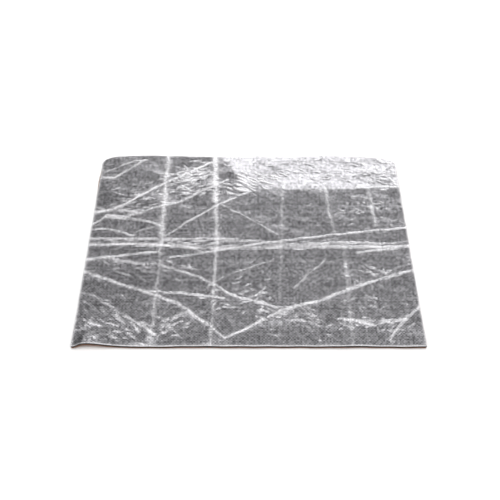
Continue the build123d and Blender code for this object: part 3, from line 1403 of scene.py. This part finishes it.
@dataclass
class FrayedEnds:
    """The cut ends of the facing's tapes, which fray along the pad's edge."""

    pad: PadSizes
    outline: Outline
    finish: bpy.types.Material
    pitch: float = 1.15 * MM
    length: float = 0.65 * MM
    width: float = 0.6 * MM
    flatness: float = 0.55
    # How far apart the edge line's points are, how far below the facing's top they lie, and
    # the slope at which the ends droop.
    step: float = 1.5 * MM
    depth: float = 0.16 * MM
    droop: float = 0.1
    rear_seed: int = 10
    group: bpy.types.NodeTree | None = None

    def tree(self) -> bpy.types.NodeTree:
        """Builds the Geometry Nodes tree, once.

        Returns:
            A tree that sets a frayed tape end at every pitch along an edge line.
        """
        if self.group:
            return self.group
        self.group = bpy.data.node_groups.new("frayed_ends", "GeometryNodeTree")
        nodes = Nodes(self.group)
        face = self.group.interface
        inputs = {"Edge": "Geometry", "Pitch": "Float", "Length": "Float", "Width": "Float", "Seed": "Int"}
        for name, kind in inputs.items():
            face.new_socket(name, in_out="INPUT", socket_type=f"NodeSocket{kind}")
        face.new_socket("Ends", in_out="OUTPUT", socket_type="NodeSocketGeometry")
        given = nodes.node("NodeGroupInput").outputs

        def shake(low: float, high: float, step: int) -> Value:
            """A random number for each end, with its own seed."""
            seed = Value(nodes, given["Seed"]) + float(step)
            drawn = nodes.node("FunctionNodeRandomValue", None, {2: low, 3: high, "Seed": seed})
            return Value(nodes, drawn.outputs[1])

        line = nodes.node("GeometryNodeMeshToCurve", None, {"Mesh": given["Edge"]})
        spacing = {"Curve": line.outputs[0], "Length": given["Pitch"]}
        spaced = nodes.node("GeometryNodeResampleCurve", {"mode": "LENGTH"}, spacing)
        taper = {"Vertices": 5, "Radius Top": 0.32, "Radius Bottom": 0.5, "Depth": 1.0}
        end = nodes.node("GeometryNodeMeshCone", None, taper)
        named = {"data_type": "FLOAT_VECTOR"}
        outward = nodes.node("GeometryNodeInputNamedAttribute", named, {"Name": "outward"})
        way = {"Vector": outward.outputs[0]}
        aimed = nodes.node("FunctionNodeAlignRotationToVector", {"axis": "Z"}, way)
        tilts = {0: shake(-0.5, 0.5, 1), 1: shake(-0.5, 0.5, 2), 2: shake(0, 3, 3)}
        tilt = nodes.node("ShaderNodeCombineXYZ", None, tilts)
        turning = {"Rotation": aimed.outputs[0], "Rotate By": tilt.outputs[0]}
        turned = nodes.node("FunctionNodeRotateRotation", {"rotation_space": "LOCAL"}, turning)
        wide = Value(nodes, given["Width"]) * shake(0.5, 1.2, 4)
        long = Value(nodes, given["Length"]) * shake(0.3, 1.2, 5)
        size = nodes.node("ShaderNodeCombineXYZ", None, {0: wide, 1: wide * self.flatness, 2: long})
        standing = {
            "Points": spaced.outputs[0],
            "Instance": end.outputs["Mesh"],
            "Rotation": turned.outputs[0],
            "Scale": size.outputs[0],
        }
        ends = nodes.node("GeometryNodeInstanceOnPoints", None, standing)
        real = nodes.node("GeometryNodeRealizeInstances", None, {0: ends.outputs[0]})
        dressing = {"Geometry": real.outputs[0], "Material": self.finish}
        dressed = nodes.node("GeometryNodeSetMaterial", None, dressing)
        nodes.node("NodeGroupOutput", None, {0: dressed.outputs[0]})
        return self.group

    def edge_lines(self, panel: Panel) -> list[Array]:
        """The stretches of cut edge that a panel has, as points of the square-cornered pad."""
        left, right, front, rear = panel.sides
        low, high = self.pad.low, self.pad.high
        x = np.linspace(left, right, max(int((right - left) / self.step), 2))
        y = np.linspace(front, rear, max(int((rear - front) / self.step), 2))
        found = []
        for place in (front, rear):
            if place in (low[1], high[1]):
                found.append(np.stack([x, np.full_like(x, place)], -1))
        for place in (left, right):
            if place in (low[0], high[0]):
                found.append(np.stack([np.full_like(y, place), y], -1))
        return found

    def edge_mesh(self, panel: Panel) -> bpy.types.Mesh:
        """A panel's cut edges as lines of edges, with the outward direction at every point."""
        points, edges, outward = [], [], []
        for line in self.edge_lines(panel):
            x, y = line[:, 0], line[:, 1]
            px, py = self.outline.place(x, y)
            z = self.outline.facing_top(x, y) - self.depth
            way = np.gradient(np.stack([px, py], -1), axis=0)
            way /= np.linalg.norm(way, axis=1, keepdims=True)
            out = np.stack([way[:, 1], -way[:, 0]], -1)
            out *= np.sign((out * np.stack([px, py], -1)).sum(1).mean())
            start = len(points)
            points += np.stack([px, py, z], -1).tolist()
            outward += np.column_stack([out, np.full(len(out), -self.droop)]).tolist()
            edges += [(start + i, start + i + 1) for i in range(len(x) - 1)]
        mesh = bpy.data.meshes.new("edge_line")
        mesh.from_pydata(points, edges, [])
        stored = mesh.attributes.new("outward", "FLOAT_VECTOR", "POINT")
        stored.data.foreach_set("vector", np.array(outward, np.float32).ravel())
        return mesh

    def build(self, panel: Panel) -> bpy.types.Object:
        """Makes the frayed ends along one panel's cut edges.

        Args:
            panel: the panel.

        Returns:
            The piece.
        """
        source = bpy.data.objects.new("edge_line", self.edge_mesh(panel))
        bpy.context.scene.collection.objects.link(source)
        live = source.modifiers.new("ends", "NODES")
        live.node_group = self.tree()
        sockets = {s.name: s.identifier for s in live.node_group.interface.items_tree if s.in_out == "INPUT"}
        seed = panel.column + (self.rear_seed if panel.row == "rear" else 0)
        given = {"Pitch": self.pitch, "Length": self.length, "Width": self.width, "Seed": seed}
        for name, value in given.items():
            live[sockets[name]] = value
        seen = source.evaluated_get(bpy.context.evaluated_depsgraph_get())
        made = bpy.data.meshes.new_from_object(seen)
        bpy.data.objects.remove(source)
        piece = bpy.data.objects.new(f"{panel.body}_frayed_ends", made)
        bpy.context.scene.collection.objects.link(piece)
        return piece


# ---------------------------------------------------------------------- studio


@dataclass(frozen=True)
class SoftLight:
    """A soft rectangular light: where it stands, the point it faces, its size and its watts."""

    name: str
    place: Point
    aim: Point
    size: tuple[float, float]
    power: float

    def add(self) -> None:
        """Puts the light in the scene, out of the camera's sight."""
        data = bpy.data.lights.new(self.name, "AREA")
        data.shape = "RECTANGLE"
        data.size, data.size_y = self.size
        data.energy = self.power
        light = bpy.data.objects.new(self.name, data)
        light.location = self.place
        way = Vector(self.aim) - Vector(self.place)
        light.rotation_mode = "QUATERNION"
        light.rotation_quaternion = way.to_track_quat("-Z", "Y")
        light.visible_camera = False
        bpy.context.scene.collection.objects.link(light)


@dataclass(frozen=True)
class Studio:
    """The floor, the lights and the camera."""

    lens: float = 60.5
    film_width: float = 36.0
    pitch_deg: float = 47.7
    camera_place: Point = (0.0018, -0.8936, 0.9683)
    floor_size: float = 12.0
    floor_drop: float = 0.2 * MM
    room: Colour = (1.0, 1.0, 1.0)
    room_strength: float = 0.31
    soft_lights: tuple[SoftLight, ...] = (
        SoftLight("overhead", (0.0, -0.35, 2.6), (0, -0.1, 0), (4.0, 3.2), 95.0),
        SoftLight("behind", (0.34, 2.2, 1.00), (0, 0, 0), (2.1, 0.70), 22.0),
    )

    def floor(self) -> None:
        """A plain pale floor just under the pad."""
        bpy.ops.mesh.primitive_plane_add(size=self.floor_size, location=(0, 0, -self.floor_drop))
        ground = bpy.context.object
        ground.name = "floor"
        ground.data.materials.append(PaleFloor().make())

    def lights(self) -> None:
        """A grey room, a light overhead and a light behind the pad."""
        world = bpy.data.worlds.new("studio")
        world.use_nodes = True
        background = world.node_tree.nodes["Background"].inputs
        background["Color"].default_value = (*self.room, 1.0)
        background["Strength"].default_value = self.room_strength
        bpy.context.scene.world = world
        for light in self.soft_lights:
            light.add()

    def camera(self) -> None:
        """The camera, level and looking down at the pad from the front."""
        data = bpy.data.cameras.new("camera")
        data.lens = self.lens
        data.sensor_width = self.film_width
        camera = bpy.data.objects.new("camera", data)
        camera.location = self.camera_place
        camera.rotation_euler = (math.radians(90 - self.pitch_deg), 0, 0)
        bpy.context.scene.collection.objects.link(camera)
        bpy.context.scene.camera = camera
        bpy.context.scene.view_settings.view_transform = "Standard"


# ------------------------------------------------------------------------ main


def dress(panel: Panel, finishes: dict[Layer, bpy.types.Material], ends: FrayedEnds) -> None:
    """Builds one panel's pieces and joins them to its body.

    Args:
        panel: the panel.
        finishes: each layer's material.
        ends: the maker of the frayed ends.
    """
    left, right, front, rear = panel.sides
    makers = {Layer.FACING: panel.facing, Layer.CORE: panel.core, Layer.BASE: panel.base}
    for layer, make in makers.items():
        piece = make(finishes[layer])
        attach(piece, panel.body)
        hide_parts(f"{panel.body}_{layer.value}")
        LOG.info("%s: %d faces", piece.name, len(piece.data.polygons))
    fray = ends.build(panel)
    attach(fray, panel.body)
    LOG.info("%s: %d faces", fray.name, len(fray.data.polygons))
    right - left
    rear - front


def main() -> None:
    """Builds the pad, then the floor, lights and camera around it."""
    logging.basicConfig(level=logging.INFO, format="%(name)s %(message)s")
    pad = PadSizes.from_frame()
    outline = Outline(pad, Relief(pad))
    finishes = {Layer.FACING: SilverCloth().make(), Layer.CORE: CHARCOAL.make(), Layer.BASE: RUST_WITH_PAINTED_SHADE.make()}
    ends = FrayedEnds(pad, outline, TapeEnds().make())
    for row in ("front", "rear"):
        for column in range(1, len(pad.cross_folds) + 2):
            dress(Panel(pad, outline, row, column), finishes, ends)
    studio = Studio()
    studio.floor()
    studio.lights()
    studio.camera()


if __name__ == "__main__":
    main()
